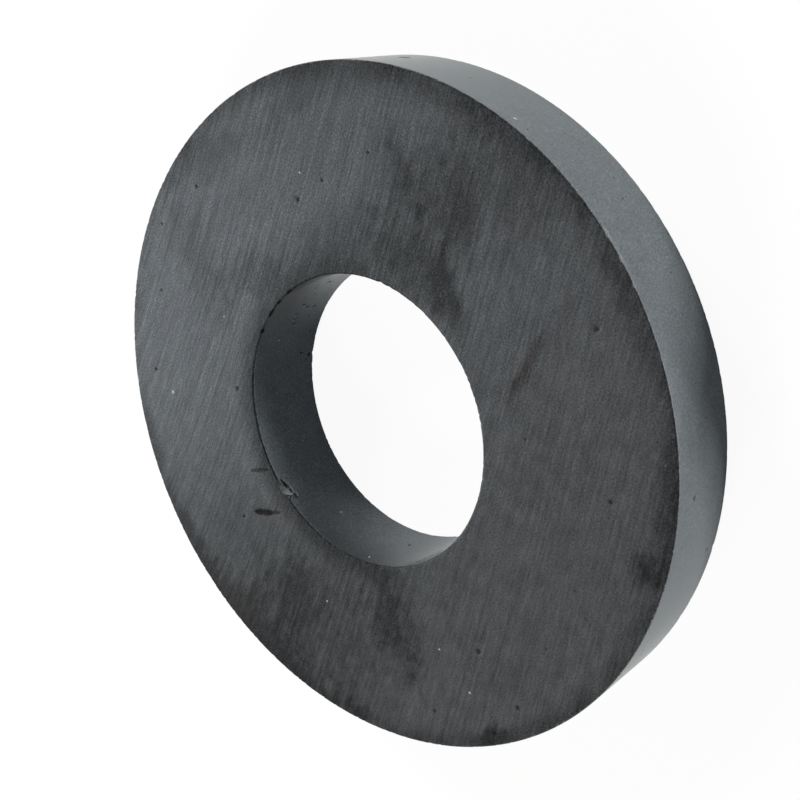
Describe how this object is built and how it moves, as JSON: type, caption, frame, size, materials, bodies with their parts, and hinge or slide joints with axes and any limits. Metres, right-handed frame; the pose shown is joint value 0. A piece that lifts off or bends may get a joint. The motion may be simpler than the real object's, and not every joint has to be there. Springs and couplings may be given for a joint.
{
  "type": "oil pan magnet",
  "caption": "Flat ring magnet of dark sintered ferrite with a plain bore, laid in an oil pan to hold steel particles out of the oil.",
  "frame": {"origin": "centre of the ring's back face, on the bore's axis", "axes": "+Z along the bore's axis from the back face to the front face; +X is a free choice, as the ring is round"},
  "size_m": [0.045, 0.045, 0.006],
  "materials": {
    "ferrite": "satin"
  },
  "bodies": {
    "root": {"ring_magnet": "ferrite"}
  },
  "joints": []
}
